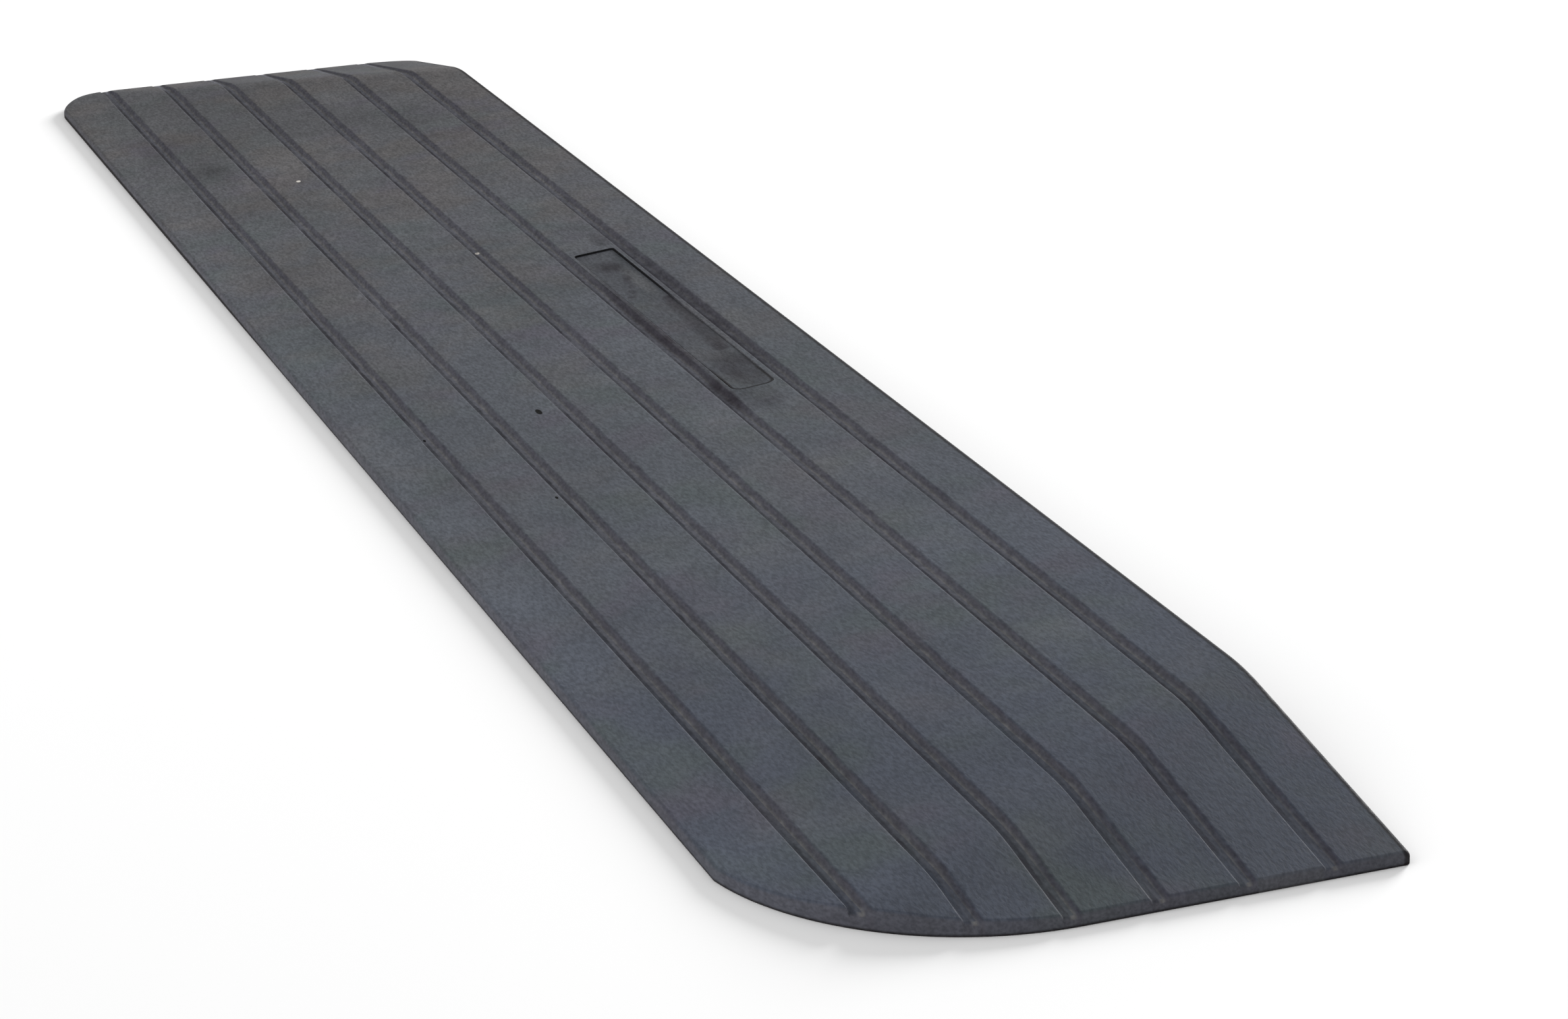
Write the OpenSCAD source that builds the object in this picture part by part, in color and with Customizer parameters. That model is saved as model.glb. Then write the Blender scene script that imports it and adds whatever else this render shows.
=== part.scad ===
// Rubber threshold ramp: one long moulding with sloping ends and a grooved top,
// and a bare panel let into the top between the two highest grooves.
// +X runs along the threshold, +Y climbs from the toe to the threshold, +Z is up.
// The origin is on the floor, under the middle of the ramp.

/* [Ramp] */
// Length along the threshold
ramp_length = 1220; // [700:10:2000]
// Depth from the toe to the threshold
ramp_depth = 210; // [200:1:300]
// Height at the threshold
ramp_rise = 25; // [18:0.5:40]
// Height of the upright lip where the top runs out at the toe and the ends
lip_height = 4.4; // [3:0.1:8]

/* [Ends] */
// Length of the sloping wing at each end, measured along the threshold
wing_length = 120; // [80:1:250]
// How far the two slopes are eased into each other over the hip between them
hip_ease = 2; // [1:0.1:8]
// Radius in plan of the corner at the right-hand end of the toe
right_corner_r = 97; // [20:1:150]
// Radius in plan of the corner at the left-hand end of the toe
left_corner_r = 50; // [20:1:150]
// How far the toe line cuts the corner arcs short of running out square
corner_trim = 2; // [0.5:0.1:6]
// Radius of the rounded edge all round the top
edge_r = 1.2; // [0.5:0.1:2.5]

/* [Grooves] */
// Number of grooves along the top
groove_count = 6; // [2:1:6]
// Distance from the toe to the middle of the first groove
first_groove = 30.2; // [20:0.1:40]
// Distance from one groove to the next
groove_pitch = 30.4; // [27:0.1:33]
// Width of a groove at the top
groove_width = 6; // [3:0.1:7]
// Depth of a groove
groove_depth = 2; // [1:0.1:2.5]
// Run of the steep wall on the toe side of a groove
groove_front_run = 0.4; // [0.2:0.1:1]
// Run of the easier wall on the threshold side of a groove
groove_back_run = 1; // [0.2:0.1:1.6]

/* [Panel] */
// Length of the inlaid panel
panel_length = 226; // [100:1:400]
// Width of the inlaid panel
panel_width = 19; // [10:0.5:19]
// Thickness of the inlaid panel
panel_thickness = 1.2; // [0.8:0.1:3]
// How far the face of the panel lies below the top of the ramp
panel_recess = 0.8; // [0.2:0.1:2]
// Gap round the panel in its pocket
panel_gap = 0.3; // [0.1:0.05:0.6]
// Corner radius at the right-hand end of the panel
panel_right_r = 5; // [1:0.5:9]
// Corner radius at the left-hand end of the panel
panel_left_r = 1.5; // [1:0.5:9]

/* [Hidden] */
$fn = 96;

// How far a cutting shape runs past what it cuts
overrun = 5;
// The planes that ease a hip, as shares of the way from the main slope to the wing
hip_shares = [0, 1 / 4, 1 / 2, 3 / 4, 1];
// Steps in the rounding of the top edge
edge_steps = 3;

end_x = ramp_length / 2;
toe_y = -ramp_depth / 2;
back_y = ramp_depth / 2;
main_slope = (ramp_rise - lip_height) / ramp_depth;
wing_slope = (ramp_rise - lip_height) / wing_length;
// Depth that keeps the foot of the most tilted slab below the floor
slab_foot = ramp_rise + wing_slope * ramp_length;
// How far past an end the grooves are cut, so that every bend lies on their way
groove_run_out = hip_ease / wing_slope + overrun;

// The panel lies midway between the last two grooves
panel_y = (groove_y(groove_count - 2) + groove_y(groove_count - 1)) / 2;
panel_top_z = lip_height + climb(panel_y, 0);
pocket_depth = panel_thickness + panel_recess;

// Middle of a groove, counted from the toe
function groove_y(i) = toe_y + first_groove + i * groove_pitch;

// How far a plane of the top has climbed above the lip at depth y, in line with an end.
// A wing share of 0 gives the main slope, which climbs most, and 1 the wing, which stays level.
function climb(y, wing_share) = (1 - wing_share) * main_slope * (y - toe_y);

// How far a plane between the two slopes is lowered to ease the hip
function easing(wing_share) = hip_ease * wing_share * (1 - wing_share);

// Distance from an end at which the top passes from one plane to the next at depth y
function bend(y, from_share, to_share) =
    (climb(y, 0) + hip_ease * (1 - from_share - to_share)) / wing_slope;

// Height of a plane of the top at depth y and a distance in from the end
function plane_z(y, inset, wing_share) =
    lip_height + climb(y, wing_share) + wing_share * wing_slope * inset - easing(wing_share);

// Points along the top at depth y, lowered by sink: from past one end to its last bend
function end_line(y, sink) = [
    [-groove_run_out, plane_z(y, -groove_run_out, 1) - sink],
    for (i = [len(hip_shares) - 1 : -1 : 1])
        let (inset = bend(y, hip_shares[i - 1], hip_shares[i]))
        [inset, plane_z(y, inset, hip_shares[i]) - sink]
];

// The same line from past the left-hand end to past the right-hand end, in place
function whole_line(y, sink) =
    let (half = end_line(y, sink), last = len(half) - 1)
    [
        for (p = half) [p[0] - end_x, y, p[1]],
        for (i = [last : -1 : 0]) [end_x - half[i][0], y, half[i][1]]
    ];

// A block with one sloping plane of the top, in line with the right-hand end
module top_slab(wing_share) {
    front = toe_y - overrun;
    back = back_y + overrun;
    translate([end_x, 0, lip_height - easing(wing_share)])
        rotate([0, atan(wing_share * wing_slope), 0])
            translate([-ramp_length - overrun, 0, 0])
                rotate([90, 0, 90])
                    linear_extrude(height = ramp_length + 2 * overrun)
                        polygon([
                            [front, -slab_foot],
                            [front, climb(front, wing_share)],
                            [back, climb(back, wing_share)],
                            [back, -slab_foot]
                        ]);
}

// One groove to be cut: it follows the top over both hips and out through the ends.
// Its walls run on upwards as far above the top as its floor lies below.
module groove_cut(i) {
    front = groove_y(i) - groove_width / 2;
    back = groove_y(i) + groove_width / 2;
    lines = [
        whole_line(front - groove_front_run, -groove_depth),
        whole_line(front + groove_front_run, groove_depth),
        whole_line(back - groove_back_run, groove_depth),
        whole_line(back + groove_back_run, -groove_depth)
    ];
    sides = len(lines);
    steps = len(lines[0]);
    polyhedron(
        points = [for (k = [0 : steps - 1]) for (line = lines) line[k]],
        faces = [
            [for (j = [0 : sides - 1]) j],
            for (k = [0 : steps - 2])
                for (j = [0 : sides - 1])
                    let (next = (j + 1) % sides)
                    [k * sides + next, k * sides + j, (k + 1) * sides + j, (k + 1) * sides + next],
            [for (j = [sides - 1 : -1 : 0]) (steps - 1) * sides + j]
        ]
    );
}

// What rounding takes off a square corner at the origin, with the material at -X and +Y.
// With a trim, the arc would only run out beyond the edge along X, which cuts it short.
module corner_waste(r, trim) {
    difference() {
        translate([-r, -overrun])
            square([r + overrun, r - trim + overrun]);
        translate([-r, r - trim])
            circle(r);
    }
}

// Outline of the ramp seen from above
module ramp_plan() {
    difference() {
        translate([-end_x, toe_y])
            square([ramp_length, ramp_depth]);
        translate([end_x, toe_y])
            corner_waste(right_corner_r, corner_trim);
        mirror([1, 0])
            translate([end_x, toe_y])
                corner_waste(left_corner_r, corner_trim);
    }
}

// All that lies inside the plan and under every slab, with the sides drawn in and the top lowered
module ramp_layer(inset, drop) {
    intersection() {
        linear_extrude(height = ramp_rise + overrun)
            offset(delta = -inset)
                ramp_plan();
        translate([0, 0, -drop])
            intersection_for (share = hip_shares)
                top_slab(share);
        mirror([1, 0, 0])
            translate([0, 0, -drop])
                intersection_for (share = hip_shares)
                    top_slab(share);
    }
}

// The moulding before it is cut. It bulges everywhere, so a hull of layers rounds its top edge.
module ramp_blank() {
    hull()
        for (i = [0 : edge_steps])
            let (turn = 90 * i / edge_steps)
            ramp_layer(edge_r * (1 - sin(turn)), edge_r * (1 - cos(turn)));
}

// Outline of the panel, or of its pocket where it is grown by the gap
module panel_plan(grow) {
    half_length = panel_length / 2 + grow;
    half_width = panel_width / 2 + grow;
    difference() {
        square([2 * half_length, 2 * half_width], center = true);
        for (flip = [0, 1])
            mirror([0, flip]) {
                translate([half_length, -half_width])
                    corner_waste(panel_right_r + grow, 0);
                mirror([1, 0])
                    translate([half_length, -half_width])
                        corner_waste(panel_left_r + grow, 0);
            }
    }
}

// Lays a flat shape in the pocket, on its floor and square to the main slope
module in_pocket() {
    translate([0, panel_y, panel_top_z])
        rotate([atan(main_slope), 0, 0])
            translate([0, 0, -pocket_depth])
                children();
}

module ramp_body() {
    color("#53565c")
        difference() {
            ramp_blank();
            for (i = [0 : groove_count - 1])
                groove_cut(i);
            in_pocket()
                linear_extrude(height = pocket_depth + overrun)
                    panel_plan(panel_gap);
        }
}

module panel_inlay() {
    color("#4a4c52")
        in_pocket()
            linear_extrude(height = panel_thickness)
                panel_plan(0);
}

ramp_body();
panel_inlay();
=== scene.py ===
import math
from itertools import permutations

import bmesh
import bpy
from mathutils import Matrix, Vector


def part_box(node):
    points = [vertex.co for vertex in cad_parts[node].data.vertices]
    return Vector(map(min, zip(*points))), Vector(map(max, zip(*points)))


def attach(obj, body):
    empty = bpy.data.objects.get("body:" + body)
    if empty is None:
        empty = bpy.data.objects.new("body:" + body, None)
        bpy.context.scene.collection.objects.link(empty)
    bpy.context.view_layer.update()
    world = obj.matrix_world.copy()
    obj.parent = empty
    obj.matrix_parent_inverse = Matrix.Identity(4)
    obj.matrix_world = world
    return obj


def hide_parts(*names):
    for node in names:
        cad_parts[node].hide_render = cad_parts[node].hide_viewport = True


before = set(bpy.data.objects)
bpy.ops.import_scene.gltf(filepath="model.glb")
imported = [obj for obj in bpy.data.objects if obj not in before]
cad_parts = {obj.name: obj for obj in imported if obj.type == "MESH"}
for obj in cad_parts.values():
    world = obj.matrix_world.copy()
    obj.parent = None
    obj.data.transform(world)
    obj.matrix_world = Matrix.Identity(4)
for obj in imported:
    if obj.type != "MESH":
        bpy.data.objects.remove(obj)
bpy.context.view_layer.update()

# Lengths are in metres, as in the frame
MM = 0.001
CLOSE = 0.001 * MM


def mm(*lengths):
    """Lengths that are given in millimetres."""
    return tuple(length * MM for length in lengths)


low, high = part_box("ramp_body")
_, panel_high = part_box("panel_inlay")
END_X = high.x
TOE_Y = low.y
BACK_Y = high.y

# The moulding's own sizes. It rises this far before its crest is rounded.
RISE = 25 * MM
BLANK_HEIGHT = 2 * RISE
LIP_HEIGHT = 4.4 * MM
WING_LENGTH = 120 * MM
HIP_EASE = 2 * MM
HIP_STEPS = 8
MAIN_SLOPE = (RISE - LIP_HEIGHT) / (BACK_Y - TOE_Y)
WING_SLOPE = (RISE - LIP_HEIGHT) / WING_LENGTH

# Corners seen from above. The toe line cuts the arcs at its two ends short by their trim.
RIGHT_CORNER_R = 97 * MM
RIGHT_CORNER_TRIM = 2 * MM
RIGHT_CORNER_STEPS = 40
LEFT_CORNER_R = 42 * MM
LEFT_CORNER_TRIM = 0.2 * MM
LEFT_CORNER_STEPS = 26
BACK_CORNER_R = 29 * MM
BACK_CORNER_STEPS = 16

# Edges: the top is rounded all round, and the foot a little
TOP_ROUND = 2 * MM
TOP_ROUND_STEPS = 5
FOOT_ROUND = 0.4 * MM
FOOT_ROUND_STEPS = 2
WELD = 0.2 * MM

# Grooves, counted from the toe, and the shares of their depth that are left at the ends
FIRST_GROOVE = TOE_Y + 30.2 * MM
GROOVE_PITCH = 30.4 * MM
GROOVE_COUNT = 6
GROOVE_RIGHT_SHARE = 0.5
GROOVE_LEFT_SHARE = 0.1

# The line across a groove: how far from its middle, how deep
GROOVE_LINE = [mm(-3.5, 0), mm(-3.2, 0.08), mm(-3.02, 0.3), mm(-2.92, 0.6), mm(-2.68, 1.5),
               mm(-2.5, 1.82), mm(-2.1, 2), mm(0.9, 2), mm(1.5, 1.86), mm(1.95, 1.5),
               mm(2.65, 0.65), mm(3.0, 0.32), mm(3.45, 0.09), mm(4.0, 0)]

# The panel, midway between the last two grooves, and its pocket
PANEL_Y = FIRST_GROOVE + (GROOVE_COUNT - 1.5) * GROOVE_PITCH
PANEL_HALF_LENGTH = panel_high.x
PANEL_HALF_WIDTH = 9.5 * MM
PANEL_RIGHT_R = 5 * MM
PANEL_LEFT_R = 1.5 * MM
PANEL_ROUND = 0.35 * MM
PANEL_ROUND_STEPS = 3
PANEL_RISE = 0.6 * MM
PANEL_WELD = 10 * CLOSE
POCKET_DEPTH = 2 * MM
POCKET_GAP = 0.3 * MM
POCKET_CORNER_STEPS = 6
RIM_ROUND = 0.3 * MM
RIM_ROUND_STEPS = 2

# Limits for the direction of a face: across a direction, facing it, and square on to it
ACROSS = 0.02
FACING = 0.9
SQUARE_ON = 0.99

# Angles between faces: still one plane on the ramp and on the panel, and a sharp edge
ONE_PLANE = math.radians(0.1)
ONE_PANEL_PLANE = math.radians(1)
SHARP = math.radians(60)


# Moulded shapes

def everything(bm):
    return bm.verts[:] + bm.edges[:] + bm.faces[:]


def only(kind, items):
    return [item for item in items if isinstance(item, kind)]


def once(items):
    """Each item once, in the order of its first place, so that every run gives the same mesh."""
    return list(dict.fromkeys(items))


def soften(bm, edges, radius, segments):
    """Rounds edges to a radius."""
    bmesh.ops.bevel(bm, geom=edges, offset=radius, offset_type="OFFSET", segments=segments,
                    profile=0.5, affect="EDGES", material=-1, clamp_overlap=False)


def corner_arc(bm, side, middle, turn, sweep, steps):
    """Line of a corner seen from above, from an end of the ramp round its middle.

    Gives both ends of the line.
    """
    start = bm.verts.new((side * END_X, middle.y, 0))
    turned = bmesh.ops.spin(bm, geom=[start], cent=middle, axis=(0, 0, turn), angle=sweep,
                            steps=steps)
    return start, only(bmesh.types.BMVert, turned["geom_last"])[0]


def toe_corner_sizes(side):
    """Radius and trim of the toe corner on the right for a side above 0, else on the left."""
    if side > 0:
        return RIGHT_CORNER_R, RIGHT_CORNER_TRIM
    return LEFT_CORNER_R, LEFT_CORNER_TRIM


def toe_corner(bm, side, steps):
    radius, cut_short = toe_corner_sizes(side)
    middle = Vector((side * (END_X - radius), TOE_Y + radius - cut_short, 0))
    sweep = math.asin((radius - cut_short) / radius)
    return corner_arc(bm, side, middle, -side, sweep, steps)


def back_corner(bm, side, radius, steps):
    middle = Vector((side * (END_X - radius), BACK_Y - radius, 0))
    return corner_arc(bm, side, middle, side, math.pi / 2, steps)


def trim(bm, point, normal):
    """Takes off all that lies above a plane and closes the cut."""
    cut = bmesh.ops.bisect_plane(bm, geom=everything(bm), dist=CLOSE, plane_co=point,
                                 plane_no=normal, clear_outer=True)
    bmesh.ops.edgeloop_fill(bm, edges=only(bmesh.types.BMEdge, cut["geom_cut"]))


def ramp_blank():
    """The moulding before its edges and grooves: its outline drawn up and trimmed to the slopes."""
    bm = bmesh.new()
    right_end, right_toe = toe_corner(bm, 1, RIGHT_CORNER_STEPS)
    left_end, left_toe = toe_corner(bm, -1, LEFT_CORNER_STEPS)
    left_side, left_back = back_corner(bm, -1, BACK_CORNER_R, BACK_CORNER_STEPS)
    right_back = bm.verts.new((END_X, BACK_Y, 0))
    sides = ((right_end, right_back), (right_back, left_back),
             (left_side, left_end), (left_toe, right_toe))
    for pair in sides:
        bm.edges.new(pair)
    bmesh.ops.edgeloop_fill(bm, edges=bm.edges[:])
    raised = bmesh.ops.extrude_face_region(bm, geom=bm.faces[:])
    bmesh.ops.translate(bm, verts=only(bmesh.types.BMVert, raised["geom"]),
                        vec=(0, 0, BLANK_HEIGHT))
    bmesh.ops.recalc_face_normals(bm, faces=bm.faces)
    trim(bm, Vector((0, TOE_Y, LIP_HEIGHT)), Vector((0, -MAIN_SLOPE, 1)))
    for side in (1, -1):
        for step in range(1, HIP_STEPS + 1):
            share = step / HIP_STEPS
            eased = HIP_EASE * share * (1 - share)
            trim(bm, Vector((side * END_X, TOE_Y, LIP_HEIGHT - eased)),
                 Vector((side * share * WING_SLOPE, -(1 - share) * MAIN_SLOPE, 1)))
    bmesh.ops.remove_doubles(bm, verts=bm.verts, dist=WELD)
    bmesh.ops.recalc_face_normals(bm, faces=bm.faces)
    return bm


def is_upright(face):
    return abs(face.normal.z) < ACROSS


def looks_up(face):
    return face.normal.z > ACROSS


def is_top(face):
    return face.normal.z > FACING


def is_back(face):
    return face.normal.y > FACING


def is_right_end(face):
    return face.normal.x > SQUARE_ON


def is_foot(face):
    return face.normal.z < -FACING


def between(bm, first, second):
    """Edges with a face of one kind on one side and a face of another kind on the other."""
    return [e for e in bm.edges
            if any(first(f) and second(g) for f, g in permutations(e.link_faces))]


def round_outline(bm):
    """Rounds the edge of the top and the one upright corner, then the foot."""
    top_edge = between(bm, is_upright, is_top)
    upright_corner = between(bm, is_back, is_right_end)
    soften(bm, top_edge + upright_corner, TOP_ROUND, TOP_ROUND_STEPS)
    foot_edge = between(bm, is_foot, lambda f: not is_foot(f))
    soften(bm, foot_edge, FOOT_ROUND, FOOT_ROUND_STEPS)


def groove_depth(across):
    """How deep a groove is at a distance from its middle."""
    for (start, deep), (end, deeper) in zip(GROOVE_LINE, GROOVE_LINE[1:]):
        if start <= across <= end:
            return deep + (across - start) / (end - start) * (deeper - deep)
    return 0


def end_at(side, y):
    """How far an end lies from the middle of the ramp at depth y: a corner may cut it short."""
    radius, cut_short = toe_corner_sizes(side)
    short = max(0, TOE_Y + radius - cut_short - y)
    return END_X - radius + math.sqrt(radius ** 2 - short ** 2)


def groove_share(x, middle):
    """How much of its depth a groove has at x: it gets shallower from each hip to the end."""
    end = end_at(x, middle)
    hip = END_X - WING_LENGTH * (middle - TOE_Y) / (BACK_Y - TOE_Y)
    if end <= hip:
        return 1
    at_end = GROOVE_RIGHT_SHARE if x > 0 else GROOVE_LEFT_SHARE
    return at_end + (1 - at_end) * min(1, max(0, end - abs(x)) / (end - hip))


def press_groove(bm, middle):
    """Scores the top along a groove's lines and presses it in between them, through the lips."""
    for across, _ in GROOVE_LINE:
        top = [f for f in bm.faces if looks_up(f)]
        edges = once(e for f in top for e in f.edges)
        verts = once(v for f in top for v in f.verts)
        bmesh.ops.bisect_plane(bm, geom=[*verts, *edges, *top], dist=CLOSE,
                               plane_co=(0, middle + across, 0), plane_no=(0, 1, 0))
    for vert in once(v for f in bm.faces if looks_up(f) for v in f.verts):
        vert.co.z -= groove_depth(vert.co.y - middle) * groove_share(vert.co.x, middle)
    bm.normal_update()


def pocket_sides():
    """Points on the pocket's outline and the directions out of it, in its own plane."""
    half_length = PANEL_HALF_LENGTH + POCKET_GAP
    half_width = PANEL_HALF_WIDTH + POCKET_GAP
    turn = math.pi / 2 / POCKET_CORNER_STEPS
    sides = []
    for side in (1, -1):
        sides.append((side * half_length, 0, side, 0))
        sides.append((0, side * half_width, 0, side))
    for along, radius in ((1, PANEL_RIGHT_R + POCKET_GAP), (-1, PANEL_LEFT_R + POCKET_GAP)):
        reach = radius * math.cos(turn / 2)
        for across in (1, -1):
            for step in range(POCKET_CORNER_STEPS):
                out_x = along * math.cos((step + 0.5) * turn)
                out_y = across * math.sin((step + 0.5) * turn)
                sides.append((along * (half_length - radius) + out_x * reach,
                              across * (half_width - radius) + out_y * reach, out_x, out_y))
    return sides


def rim_of(floor):
    """Edges where the walls that stand on a pocket's floor meet the top."""
    walls = once(f for e in floor.edges for f in e.link_faces if f is not floor)
    return once(e for w in walls for e in w.edges for f in e.link_faces
                if is_top(f) and f is not floor)


def sink_pocket(bm):
    """Scores the pocket's outline into the top and sinks what lies inside it."""
    up_slope = Vector((0, 1, MAIN_SLOPE)).normalized()
    out = Vector((0, -MAIN_SLOPE, 1)).normalized()
    middle = Vector((0, PANEL_Y, LIP_HEIGHT + MAIN_SLOPE * (PANEL_Y - TOE_Y)))

    def inside():
        return next(f for f in bm.faces
                    if is_top(f) and bmesh.geometry.intersect_face_point(f, middle))

    face = inside()
    for x, y, out_x, out_y in pocket_sides():
        bmesh.ops.bisect_plane(bm, geom=[face, *face.edges, *face.verts], dist=CLOSE,
                               plane_co=middle + Vector((x, 0, 0)) + up_slope * y,
                               plane_no=Vector((out_x, 0, 0)) + up_slope * out_y)
        face = inside()
    sunk = bmesh.ops.extrude_face_region(bm, geom=[face])["geom"]
    bmesh.ops.delete(bm, geom=[face], context="FACES_ONLY")
    bmesh.ops.translate(bm, verts=only(bmesh.types.BMVert, sunk), vec=out * -POCKET_DEPTH)
    bm.normal_update()
    floor = only(bmesh.types.BMFace, sunk)[0]
    near = once(e for r in rim_of(floor) for v in r.verts for e in v.link_edges)
    bmesh.ops.dissolve_limit(bm, angle_limit=ONE_PLANE, edges=near,
                             verts=once(v for e in near for v in e.verts))
    soften(bm, rim_of(inside()), RIM_ROUND, RIM_ROUND_STEPS)


def make_ramp(finish):
    bm = ramp_blank()
    round_outline(bm)
    for number in range(GROOVE_COUNT):
        press_groove(bm, FIRST_GROOVE + number * GROOVE_PITCH)
    sink_pocket(bm)
    bmesh.ops.recalc_face_normals(bm, faces=bm.faces)
    finish_piece(bm, "ramp_moulding", "ramp_body", finish)


def make_panel(finish):
    """The panel, whose face comes up nearly flush with the top at its right-hand end."""
    bm = bmesh.new()
    bm.from_mesh(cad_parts["panel_inlay"].data)
    bmesh.ops.remove_doubles(bm, verts=bm.verts, dist=PANEL_WELD)
    bmesh.ops.dissolve_limit(bm, angle_limit=ONE_PANEL_PLANE, verts=bm.verts, edges=bm.edges)
    face = next(f for f in bm.faces if is_top(f))
    tilt = math.atan(PANEL_RISE / (2 * PANEL_HALF_LENGTH))
    left_end = min((v.co for v in face.verts), key=lambda place: place.x)
    bmesh.ops.rotate(bm, verts=face.verts, cent=left_end.copy(),
                     matrix=Matrix.Rotation(-tilt, 3, Vector((0, 1, MAIN_SLOPE))))
    rim = [e for e in bm.edges
           if e.calc_face_angle() > SHARP and any(is_top(f) for f in e.link_faces)]
    soften(bm, rim, PANEL_ROUND, PANEL_ROUND_STEPS)
    finish_piece(bm, "panel_face", "panel_inlay", finish)


def finish_piece(bm, name, node, finish):
    """Turns a bmesh into a piece that stands for a CAD node."""
    mesh = bpy.data.meshes.new(name)
    bm.to_mesh(mesh)
    bm.free()
    mesh.materials.clear()
    mesh.materials.append(finish)
    mesh.polygons.foreach_set("use_smooth", [True] * len(mesh.polygons))
    piece = bpy.data.objects.new(name, mesh)
    bpy.context.scene.collection.objects.link(piece)
    normals = piece.modifiers.new("even_shading", "WEIGHTED_NORMAL")
    normals.keep_sharp = False
    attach(piece, "root")
    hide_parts(node)


# Shader nodes

class Signal:
    """A shader socket that takes part in sums: each operator adds one Math node."""

    def __init__(self, board, socket):
        self.board = board
        self.socket = socket

    def _math(self, operation, first, second):
        return self.board.add("ShaderNodeMath", {"operation": operation}, {0: first, 1: second})[0]

    def __add__(self, other):
        return self._math("ADD", self, other)

    def __radd__(self, other):
        return self._math("ADD", other, self)

    def __sub__(self, other):
        return self._math("SUBTRACT", self, other)

    def __rsub__(self, other):
        return self._math("SUBTRACT", other, self)

    def __mul__(self, other):
        return self._math("MULTIPLY", self, other)

    def __rmul__(self, other):
        return self._math("MULTIPLY", other, self)

    def __truediv__(self, other):
        return self._math("DIVIDE", self, other)

    def __mod__(self, other):
        return self._math("FLOORED_MODULO", self, other)

    def __pow__(self, other):
        return self._math("POWER", self, other)

    def __abs__(self):
        return self._math("ABSOLUTE", self, 0)


class Outputs:
    """The outputs of one node, by number or name."""

    def __init__(self, board, node):
        self.board = board
        self.node = node

    def __getitem__(self, key):
        return Signal(self.board, self.node.outputs[key])


class Board:
    """The nodes of a material or of the sky."""

    def __init__(self, owner):
        owner.use_nodes = True
        self.tree = owner.node_tree
        self.tree.nodes.clear()

    def add(self, kind, settings=None, inputs=None):
        """Adds a node: its settings first, then the values or links of its sockets."""
        node = self.tree.nodes.new(kind)
        for key, value in (settings or {}).items():
            setattr(node, key, value)
        for key, value in (inputs or {}).items():
            if isinstance(value, Signal):
                self.tree.links.new(value.socket, node.inputs[key])
            else:
                node.inputs[key].default_value = value
        return Outputs(self, node)

    def greater(self, first, second):
        return self.add("ShaderNodeMath", {"operation": "MAXIMUM"}, {0: first, 1: second})[0]


class Finish(Board):
    """One material and the patterns that make it."""

    def __init__(self, name):
        self.material = bpy.data.materials.new(name)
        super().__init__(self.material)
        self.place = self.add("ShaderNodeTexCoord")["Object"]
        split = self.add("ShaderNodeSeparateXYZ", {}, {0: self.place})
        self.x, self.y, self.z = split[0], split[1], split[2]
        facing = self.add("ShaderNodeNewGeometry")["Normal"]
        self.up = self.add("ShaderNodeSeparateXYZ", {}, {0: facing})[2]

    def noise(self, size, seed, detail=2, roughness=0.5, place=None):
        """Noise about 0.5 with lumps of the given size."""
        return self.add("ShaderNodeTexNoise", {"noise_dimensions": "4D"},
                        {"Vector": place or self.place, "W": seed, "Scale": 1 / size,
                         "Detail": detail, "Roughness": roughness})[0]

    def step(self, value, start, end):
        """Goes smoothly from 0 to 1 as the value goes from start to end, whichever is larger."""
        if start > end:
            return 1 - self.step(value, end, start)
        return self.add("ShaderNodeMapRange", {"interpolation_type": "SMOOTHSTEP"},
                        {"Value": value, "From Min": start, "From Max": end})["Result"]

    def band(self, value, fade_in, fade_out):
        """1 in a band of values that has a start and an end for each of its two fades."""
        return self.step(value, *fade_in) * self.step(value, *fade_out)

    def line(self, value, middle, half_width):
        """1 on a line and 0 beyond its half width, fading softly between."""
        return self.step(abs(value - middle), half_width, 0)

    def spot(self, x, y, half_length, half_width, core=0):
        """1 in the core of an oval mark on the top, fading to 0 at its outline."""
        away = ((self.x - x) / half_length) ** 2 + ((self.y - y) / half_width) ** 2
        return self.step(away, 1, core)

    def streak(self, start, end, half_width):
        """1 along a line between two places on the top, fading to 0 at its half width."""
        (x, y), (far_x, far_y) = start, end
        run_x, run_y = far_x - x, far_y - y
        from_x, from_y = self.x - x, self.y - y
        along = (from_x * run_x + from_y * run_y) / (run_x ** 2 + run_y ** 2)
        share = self.add("ShaderNodeMapRange", {}, {"Value": along})["Result"]
        away = (from_x - share * run_x) ** 2 + (from_y - share * run_y) ** 2
        return self.step(away / half_width ** 2, 1, 0)

    def mix(self, share, first, second):
        """Mixes two colours."""
        return self.add("ShaderNodeMix", {"data_type": "RGBA"},
                        {"Factor": share, 6: first, 7: second})[2]

    def shade(self, color, tone):
        """A colour made lighter or darker."""
        return self.add("ShaderNodeVectorMath", {"operation": "SCALE"},
                        {0: color, "Scale": tone})[0]

    def turned(self, angle, length, width):
        """The place on the top, turned in plan and drawn out along its new first direction."""
        return self.add("ShaderNodeMapping", {},
                        {"Vector": self.place, "Rotation": (0, 0, angle),
                         "Scale": (1 / length, 1 / width, 1)})[0]

    def close(self, color, roughness, height, distance, gloss):
        """Ends the finish in one shader."""
        bump = self.add("ShaderNodeBump", {}, {"Height": height, "Distance": distance})[0]
        shader = self.add("ShaderNodeBsdfPrincipled", {},
                          {"Base Color": color, "Roughness": roughness, "Normal": bump,
                           "Specular IOR Level": gloss})[0]
        self.add("ShaderNodeOutputMaterial", {}, {"Surface": shader})
        return self.material


# Colours

def rgb(red, green, blue):
    return (red, green, blue, 1)


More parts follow.
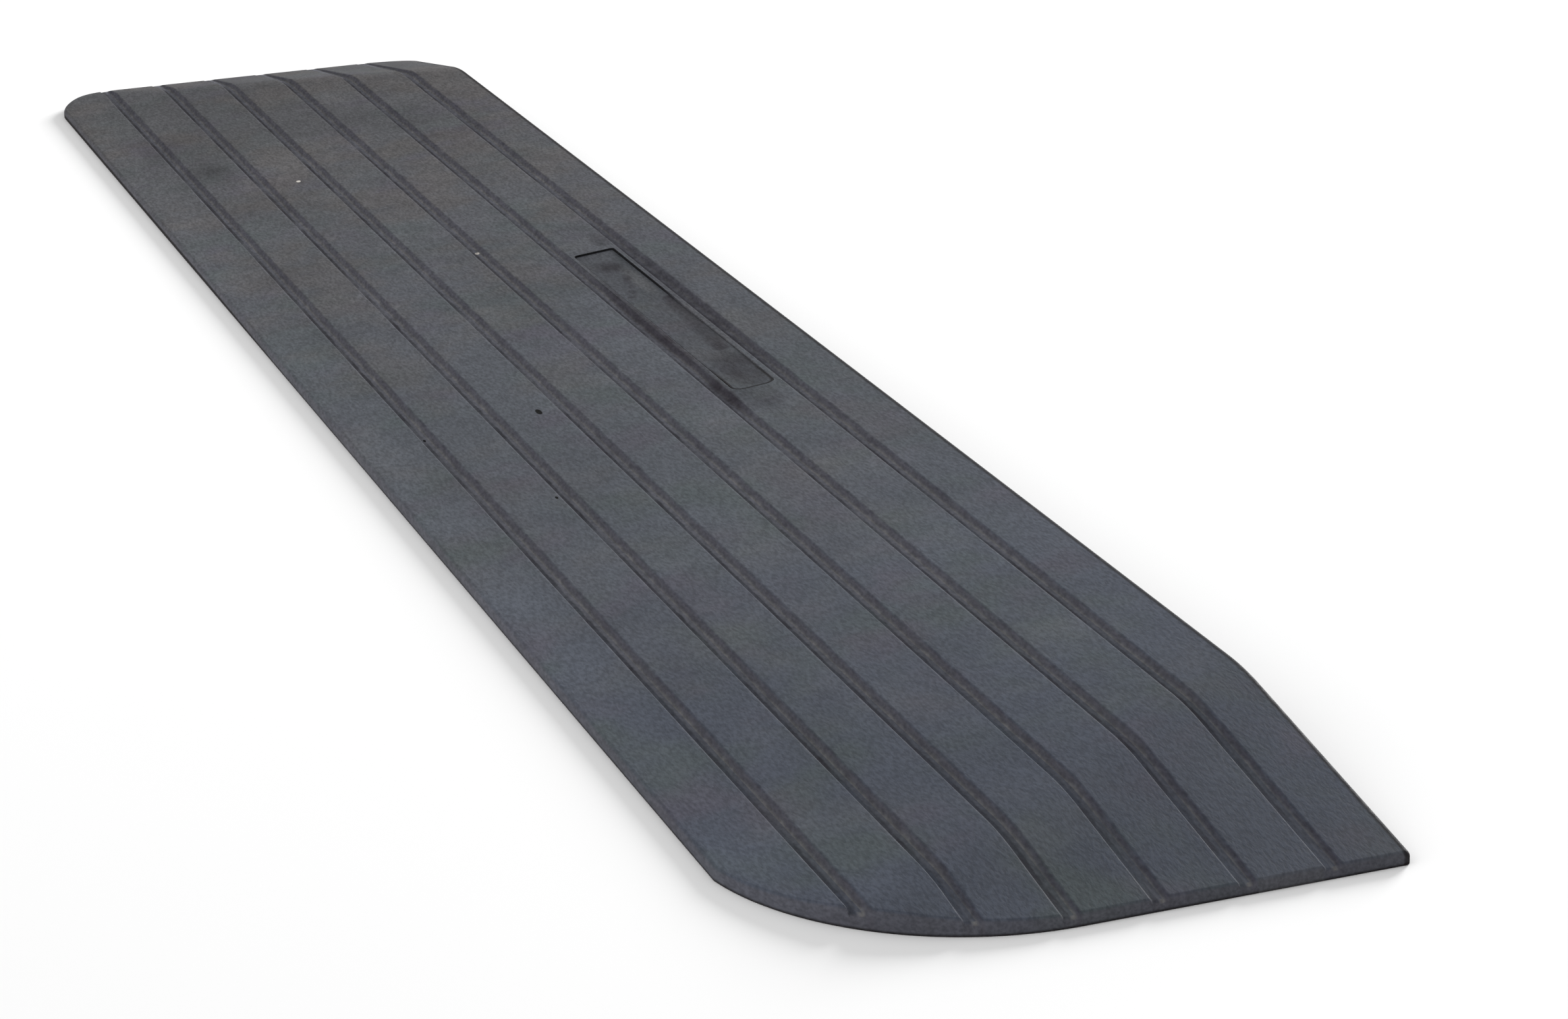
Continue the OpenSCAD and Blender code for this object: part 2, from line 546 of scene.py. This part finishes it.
BLUE_SLATE = rgb(0.0700, 0.0800, 0.1040)
GREY_SLATE = rgb(0.0900, 0.0910, 0.0970)
GREEN_SLATE = rgb(0.0855, 0.0935, 0.1050)
PALE_SLATE = rgb(0.1300, 0.1320, 0.1360)
LIP_PAINTED_LIGHT = rgb(0.0890, 0.0880, 0.1020)
GREEN_CAST = rgb(0.0700, 0.0860, 0.0860)
PURPLE_CAST = rgb(0.0860, 0.0780, 0.1000)
WARM_CAST = rgb(0.0960, 0.0900, 0.0900)
GROOVE_PALE_WEAR_AND_LIGHT = rgb(0.1260, 0.1290, 0.1500)
BACK_WALL_DUST_AND_SHADE = rgb(0.0515, 0.0510, 0.0680)
GROOVE_DIRT_AND_SHADE = rgb(0.0450, 0.0440, 0.0540)
DARK_EDGE_LINE = rgb(0.0150, 0.0130, 0.0130)
PANEL_GRIME = rgb(0.0290, 0.0255, 0.0320)
CHIP_HIGHLIGHT = rgb(0.1700, 0.1640, 0.1600)
WHITE_SPECK = rgb(0.5500, 0.5200, 0.4800)
BLACK_FLECK = rgb(0.0030, 0.0030, 0.0030)
FLOOR_DULL = rgb(0.865, 0.865, 0.865)
FLOOR_BRIGHT = rgb(0.885, 0.885, 0.885)

# Patterns: the size of their lumps, seed, detail and roughness
GRAIN = (1.15 * MM, 2.9, 2, 0.6)
COARSE_GRAIN = (2.8 * MM, 6.6, 2, 0.6)
MOTTLE = (16 * MM, 4.2, 3, 0.5)
BLOTCHES = (70 * MM, 1.7, 3, 0.55)
DUSTING = (55 * MM, 9.6, 4, 0.6)
GREEN_PATCHES = (42 * MM, 8.3, 2, 0.5)
PURPLE_PATCHES = (36 * MM, 5.1, 2, 0.5)
WARM_PATCHES = (48 * MM, 3.7, 3, 0.6)
GROOVE_WANDER = (9 * MM, 3.3, 3, 0.65)
GROOVE_PATCHES = (45 * MM, 7.7, 3, 0.6)
RAGGED_DIRT = (11 * MM, 8.8, 3, 0.65)
DIRT_CLUMPS = (4 * MM, 1.3, 2, 0.6)
PANEL_SMEARS = (9 * MM, 6.1, 4, 0.6)
PANEL_WEAR = (5 * MM, 2.2, 3, 0.65)
FLOOR_CLOUD = (600 * MM, 0.4)

# How patterns are drawn out: turn in plan, length, width
GRAIN_DRAWN = (0, 2.4, 1)
SMEARS_DRAWN = (-0.22, 4.5, 1)
WEAR_DRAWN = (-1, 2.2, 1)

# Gloss and relief
RUBBER_GLOSS = 0.04
GRAIN_RELIEF = 0.065 * MM
MOTTLE_RELIEF = 0.13 * MM
BLOTCH_RELIEF = 0.9 * MM
SMEAR_RELIEF = 0.2 * MM
FLOOR_GLOSS = 0.1
FLOOR_RELIEF = 0.01 * MM

# Where the tone and colour change along the ramp and across it. The darker ends and right-hand wing
# are painted shade.
GREEN_LINE = mm(130, 330)
TOWARDS_ENDS = mm(250, 580)
RIGHT_WING = mm(420, 560)
BY_THE_TOE = mm(-78, -95)
FAR_HALF = mm(0, -250)

# Bands across a groove, from its middle, and how far along the ramp the paler ones go. The brink
# line is a painted highlight and the pale floors and feet are partly painted light.
WANDER_REACH = 1.8 * MM
GROOVED = ((TOE_Y + 14 * MM, TOE_Y + 16 * MM), (BACK_Y - 10 * MM, BACK_Y - 12 * MM))
BRINK_LINE = mm(-3.4, 0.7)
FRONT_FOOT_BAND = (mm(-3.2, -2.6), mm(0.1, -0.9))
FLOOR_BAND = (mm(-0.8, -0.1), mm(2.0, 0.6))
BACK_WALL_BAND = (mm(1.0, 2.2), mm(4.0, 2.6))
CHIP_LINE = mm(0.8, 1.6)
PALE_FLOORS = mm(500, 300)
PALE_FEET = mm(350, 150)

# Edges: where the top has turned away from level, and the dark lines on crest and foot. The upright
# lip has painted light, and the line at its foot is painted shade.
LIP_TURN = (0.97, 0.55)
RUN_OUT_TURN = ((0.45, 0.7), (0.99, 0.93))
JOINT_TURN = (0.995, 0.96)
CREST_LINE = (BACK_Y - 3.3 * MM, BACK_Y - 2.1 * MM)
FOOT_LINE = mm(1.4, 0.3)
FAR_FOOT_RISE = 1.4 * MM

# Marks on the ramp: x, y, half length, half width. The grime before the panel also has its least
# share and what ragged dirt adds to it.
GRIME_BEFORE_PANEL = ((mm(12, 50.6, 100, 4.6), 0.6, 0.4), (mm(112, 48.8, 34, 3.5), 0.5, 0.5))
GRIME_BEHIND_PANEL = mm(-20, 77, 170, 6)
SMUDGES = (mm(122, 59, 30, 12), mm(-130, 70, 15, 6), mm(-385, -62, 34, 15))
SPECKS = (mm(-335, -27.4, 2.08, 1.3), mm(-156.2, 16.9, 1.92, 1.2))
FLECKS = (mm(83.3, -25.5, 4.2, 1.4), mm(80.5, -75.4, 1.6, 0.7), mm(184.9, -49.2, 1.8, 0.7))
CRISP = 0.5

# The joint round the panel: how far from its middle line, where it has painted light and where it
# is black
JOINT_REACH = mm(12, 11)
JOINT_LIGHT_REACH = mm(-40, 20)
BLACK_JOINT = (mm(-118, -116), mm(-5, -45))

# Marks on the panel: spots as above, and streaks from one place to another
PALE_RUB = mm(-60, 67, 30, 5)
LEFT_SMEAR = mm(-87, 61.5, 14, 8)
THIN_STREAK = (mm(-76, 66), mm(-38, 57), 3 * MM)
LONG_STREAK = (mm(-26, 70.5), mm(56, 66.5), 5 * MM)
RIGHT_SMEAR = mm(86, 65, 32, 13)
RIGHT_END = mm(60, 100)
RIM_LINE = mm(1.5, 0.6)


# Finishes. Bare numbers in their sums are shares: how much of a colour or a pattern shows.

class Slate(Finish):
    """Bare moulded rubber: blue slate at the right-hand end, greyer and more uneven to the left."""

    def __init__(self, name):
        super().__init__(name)
        left = self.step(self.x, END_X, -END_X)
        drawn_out = self.turned(*GRAIN_DRAWN)
        self.grain = self.step(self.noise(*GRAIN, drawn_out), 0.25, 0.75)
        self.mottle = self.noise(*MOTTLE)
        self.blotch = self.noise(*BLOTCHES)
        self.dusty = self.step(self.noise(*DUSTING), 0.48, 0.78)
        coarse = self.noise(*COARSE_GRAIN, drawn_out)
        green = self.step(self.noise(*GREEN_PATCHES), 0.45, 0.7)
        purple = self.step(self.noise(*PURPLE_PATCHES), 0.5, 0.72)
        warm = self.step(self.noise(*WARM_PATCHES), 0.45, 0.65)
        self.color = self.mix(left, BLUE_SLATE, GREY_SLATE)
        self.lay(0.6 * self.line(self.x, *GREEN_LINE), GREEN_SLATE)
        self.lay((0.7 - 0.4 * left) * green, GREEN_CAST)
        self.lay(0.5 * purple, PURPLE_CAST)
        self.lay(0.8 * left * warm, WARM_CAST)
        self.lay(0.3 * self.dusty, PALE_SLATE)
        self.tone = 0.98 + 0.44 * (self.blotch - 0.5) + (0.2 + 0.3 * left) * (self.mottle - 0.5)
        self.dim(1 + (0.44 + 0.16 * left) * (self.grain - 0.5))
        self.dim(1 + (0.05 + 0.35 * left) * (coarse - 0.5))

    def lay(self, share, color):
        """Lays a share of a colour over what is there."""
        self.color = self.mix(share, self.color, color)

    def dim(self, factor):
        """Makes the whole darker or, with a factor above 1, lighter."""
        self.tone = self.tone * factor

    def mould(self, relief):
        """Ends the finish with the mould's grain and the marks that stand out as relief."""
        roughness = 0.56 + 0.12 * self.mottle + 0.14 * self.grain + 0.08 * self.dusty
        height = GRAIN_RELIEF * self.grain + MOTTLE_RELIEF * self.mottle + relief
        return self.close(self.shade(self.color, self.tone), roughness, height, 1, RUBBER_GLOSS)


class RampRubber(Slate):
    """The ramp's rubber with its dirt and its painted light and shade, by the grooves, the edges
    and the panel.
    """

    def __init__(self, name):
        super().__init__(name)
        wander = WANDER_REACH * (self.noise(*GROOVE_WANDER) - 0.5)
        halfway = FIRST_GROOVE - GROOVE_PITCH / 2
        self.across = (self.y + wander - halfway) % GROOVE_PITCH - GROOVE_PITCH / 2
        self.grooved = self.band(self.y, *GROOVED)
        self.ragged = self.step(self.noise(*RAGGED_DIRT), 0.3, 0.7)

    def paint_slope_shade(self):
        """Painted shade: both ends are darker and the right-hand wing gets darker to the back. The
        toe is lighter.
        """
        self.dim(0.97 - 0.17 * self.step(abs(self.x), *TOWARDS_ENDS))
        self.dim(1 - 0.9 * self.y * self.step(self.x, *RIGHT_WING))
        self.dim(1 + 0.1 * self.step(self.y, *BY_THE_TOE))

    def shade_and_soil_grooves(self):
        """Painted shade on the back wall, a dark line of painted shade and dirt or a pale line at
        the foot of the front wall, painted light on the floor and a painted highlight on the worn
        brink.
        """
        patchy = self.noise(*GROOVE_PATCHES)
        clumps = self.step(self.noise(*DIRT_CLUMPS), 0.35, 0.65)
        dark_foot = self.step(patchy, 0.35, 0.6)
        # Painted highlight and wear along the brink of the front wall.
        brink_highlight = self.line(self.across, *BRINK_LINE) * self.step(patchy, 0.42, 0.62)
        # Painted light lifts the shaded groove floor, which is also cleaner rubber.
        floor = self.band(self.across, *FLOOR_BAND)
        floor = floor * (0.4 + 0.6 * self.step(self.x, *PALE_FLOORS))
        back_wall = self.grooved * self.band(self.across, *BACK_WALL_BAND)
        front_foot = self.grooved * self.band(self.across, *FRONT_FOOT_BAND)
        self.lay(self.grooved * (0.4 * brink_highlight + floor), GROOVE_PALE_WEAR_AND_LIGHT)
        # Painted shade with a dusty purple tint darkens the groove's back wall.
        self.lay(back_wall * (1.5 - 0.6 * patchy - 0.5 * self.ragged - 0.4 * clumps), BACK_WALL_DUST_AND_SHADE)
        # More of the floor's painted light: a pale line at the foot of the front wall where it is
        # not dark.
        self.lay(0.7 * front_foot * (1 - dark_foot) * self.step(self.x, *PALE_FEET), GROOVE_PALE_WEAR_AND_LIGHT)
        # Painted shade and dirt darken the foot of the front wall in patches.
        self.lay(front_foot * dark_foot * (0.4 + 0.6 * self.ragged), GROOVE_DIRT_AND_SHADE)

    def paint_edges(self):
        """Painted light on the upright lip, a dark line on the crest, painted shade at the foot of
        the lip, and a painted highlight where each groove ends.
        """
        lip = self.step(self.up, *LIP_TURN)
        # Painted light: the upright faces of the lip are paler.
        self.lay(0.7 * lip, LIP_PAINTED_LIGHT)
        crest = self.step(self.y, *CREST_LINE)
        foot_rise = FAR_FOOT_RISE * self.step(self.x, *FAR_HALF)
        foot = lip * self.step(self.z - foot_rise, *FOOT_LINE)
        # Painted contact shade along the foot of the lip, and a dark line along the crest.
        self.lay(0.8 * crest + 0.9 * foot, DARK_EDGE_LINE)
        run_out = self.band(self.up, *RUN_OUT_TURN) * self.grooved
        # Painted highlight where each groove runs out through the lip.
        self.lay(0.7 * run_out * self.line(self.across, *CHIP_LINE), CHIP_HIGHLIGHT)

    def soil_and_light_by_panel(self):
        """Grime in the two grooves beside the panel, and the joint round it: black in places, with
        painted light towards the right-hand end.
        """
        for mark, least, more in GRIME_BEFORE_PANEL:
            self.lay((least + more * self.ragged) * self.spot(*mark), PANEL_GRIME)
        joint = self.step(abs(self.y - PANEL_Y), *JOINT_REACH) * self.step(self.up, *JOINT_TURN)
        # Painted light lifts the shade of the joint's walls on its right half.
        self.lay(0.25 * joint * self.step(self.x, *JOINT_LIGHT_REACH), PALE_SLATE)
        self.lay((0.3 + 0.6 * self.ragged) * self.spot(*GRIME_BEHIND_PANEL), GROOVE_DIRT_AND_SHADE)
        self.lay(0.9 * joint * self.band(self.x, *BLACK_JOINT), BLACK_FLECK)

    def add_marks(self):
        """Smudges past both ends of the panel and on the second band, and a few small marks."""
        smudge = sum(self.spot(*mark) for mark in SMUDGES)
        self.dim(1 - (0.2 + 0.3 * self.ragged) * smudge * self.step(self.mottle, 0.3, 0.6))
        for mark in SPECKS:
            self.lay(self.spot(*mark, CRISP), WHITE_SPECK)
        for mark in FLECKS:
            self.lay(self.spot(*mark, CRISP), BLACK_FLECK)


def rubber_finish():
    rubber = RampRubber("moulded_rubber")
    rubber.paint_slope_shade()
    rubber.shade_and_soil_grooves()
    rubber.paint_edges()
    rubber.soil_and_light_by_panel()
    rubber.add_marks()
    return rubber.mould(BLOTCH_RELIEF * rubber.blotch)


def to_panel_rim(finish, radius):
    """How far in a place on the panel lies from its outline, with corners of the given radius."""
    out_x = finish.greater(abs(finish.x) - (PANEL_HALF_LENGTH - radius), 0)
    out_y = finish.greater(abs(finish.y - PANEL_Y) - (PANEL_HALF_WIDTH - radius), 0)
    return radius - (out_x ** 2 + out_y ** 2) ** 0.5


def panel_finish():
    panel = Slate("panel_rubber")
    smear = panel.noise(*PANEL_SMEARS, panel.turned(*SMEARS_DRAWN))
    streaky = panel.step(smear, 0.3, 0.65)
    worn = panel.step(panel.noise(*PANEL_WEAR, panel.turned(*WEAR_DRAWN)), 0.3, 0.65)
    panel.lay(0.5 * panel.spot(*PALE_RUB), PALE_SLATE)
    panel.lay((0.3 + 0.5 * worn) * panel.spot(*LEFT_SMEAR), PANEL_GRIME)
    panel.lay(0.6 * worn * panel.streak(*THIN_STREAK), PANEL_GRIME)
    panel.lay((0.2 + 0.4 * streaky + 0.2 * worn) * panel.streak(*LONG_STREAK), PANEL_GRIME)
    panel.lay((0.1 + 0.4 * streaky + 0.3 * worn) * panel.spot(*RIGHT_SMEAR), PANEL_GRIME)
    rim = panel.step(to_panel_rim(panel, PANEL_RIGHT_R), *RIM_LINE)
    panel.lay(0.85 * panel.step(panel.x, *RIGHT_END) * rim, DARK_EDGE_LINE)
    panel.dim(0.61 + 0.34 * smear)
    return panel.mould(SMEAR_RELIEF * smear)


make_ramp(rubber_finish())
make_panel(panel_finish())


# Floor, light and camera

FLOOR_HALF = 12
KEY_PLACE = (-4.8, 6.3, 2.03)
KEY_SIZE = 3.2
KEY_POWER = 1135
SKY_LEVEL = 0.51
SKY_ABOVE = 0.10
SKY_AHEAD = 1.31
SKY_FRONT = (0.25, -0.96, 0.1)
PHOTO_PLACE = (1.6468, -0.4781, 0.5453)
PHOTO_FORWARD = Vector((-0.8862, 0.3186, -0.3363))
PHOTO_RIGHT = Vector((0.3467, 0.9376, -0.0254))
PHOTO_LENS = 92.35
SENSOR_WIDTH = 36
NEAR_CLIP = 10 * MM


def make_floor():
    bm = bmesh.new()
    bmesh.ops.create_grid(bm, x_segments=1, y_segments=1, size=FLOOR_HALF)
    mesh = bpy.data.meshes.new("studio_floor")
    bm.to_mesh(mesh)
    bm.free()
    pale = Finish("pale_floor")
    cloud = pale.noise(*FLOOR_CLOUD)
    color = pale.mix(cloud, FLOOR_DULL, FLOOR_BRIGHT)
    roughness = 0.9 + 0.02 * cloud
    mesh.materials.append(pale.close(color, roughness, cloud, FLOOR_RELIEF, FLOOR_GLOSS))
    floor = bpy.data.objects.new("studio_floor", mesh)
    bpy.context.scene.collection.objects.link(floor)


def make_light(name, place, size, power):
    """A round soft light that faces the ramp."""
    light = bpy.data.lights.new(name, "AREA")
    light.shape = "DISK"
    light.size = size
    light.energy = power
    lamp = bpy.data.objects.new(name, light)
    turn = (-Vector(place)).to_track_quat("-Z", "Y")
    lamp.matrix_world = Matrix.Translation(place) @ turn.to_matrix().to_4x4()
    bpy.context.scene.collection.objects.link(lamp)


def make_sky():
    """Soft light from all round, a little brighter from above and brightest from the front."""
    world = bpy.data.worlds.new("studio")
    sky = Board(world)
    toward = sky.add("ShaderNodeTexCoord")["Generated"]
    height = sky.add("ShaderNodeSeparateXYZ", {}, {0: toward})[2]
    ahead = sky.add("ShaderNodeVectorMath", {"operation": "DOT_PRODUCT"},
                    {0: toward, 1: SKY_FRONT})["Value"]
    from_above = SKY_ABOVE * sky.greater(height, 0)
    from_ahead = SKY_AHEAD * sky.greater(ahead, 0) ** 2
    glow = sky.add("ShaderNodeBackground", {},
                   {"Color": rgb(1, 1, 1), "Strength": SKY_LEVEL + from_above + from_ahead})[0]
    sky.add("ShaderNodeOutputWorld", {}, {"Surface": glow})
    bpy.context.scene.world = world


def make_camera():
    """The camera that the edges and grooves in the photograph give."""
    forward = PHOTO_FORWARD.normalized()
    right = (PHOTO_RIGHT - forward * PHOTO_RIGHT.dot(forward)).normalized()
    up = right.cross(forward)
    data = bpy.data.cameras.new("photo_camera")
    data.sensor_fit = "HORIZONTAL"
    data.sensor_width = SENSOR_WIDTH
    data.lens = PHOTO_LENS
    data.clip_start = NEAR_CLIP
    camera = bpy.data.objects.new("photo_camera", data)
    turn = Matrix((right, up, -forward)).transposed().to_4x4()
    camera.matrix_world = Matrix.Translation(PHOTO_PLACE) @ turn
    bpy.context.scene.collection.objects.link(camera)
    bpy.context.scene.camera = camera


make_floor()
make_light("key_light", KEY_PLACE, KEY_SIZE, KEY_POWER)
make_sky()
make_camera()
bpy.context.scene.view_settings.view_transform = "Standard"
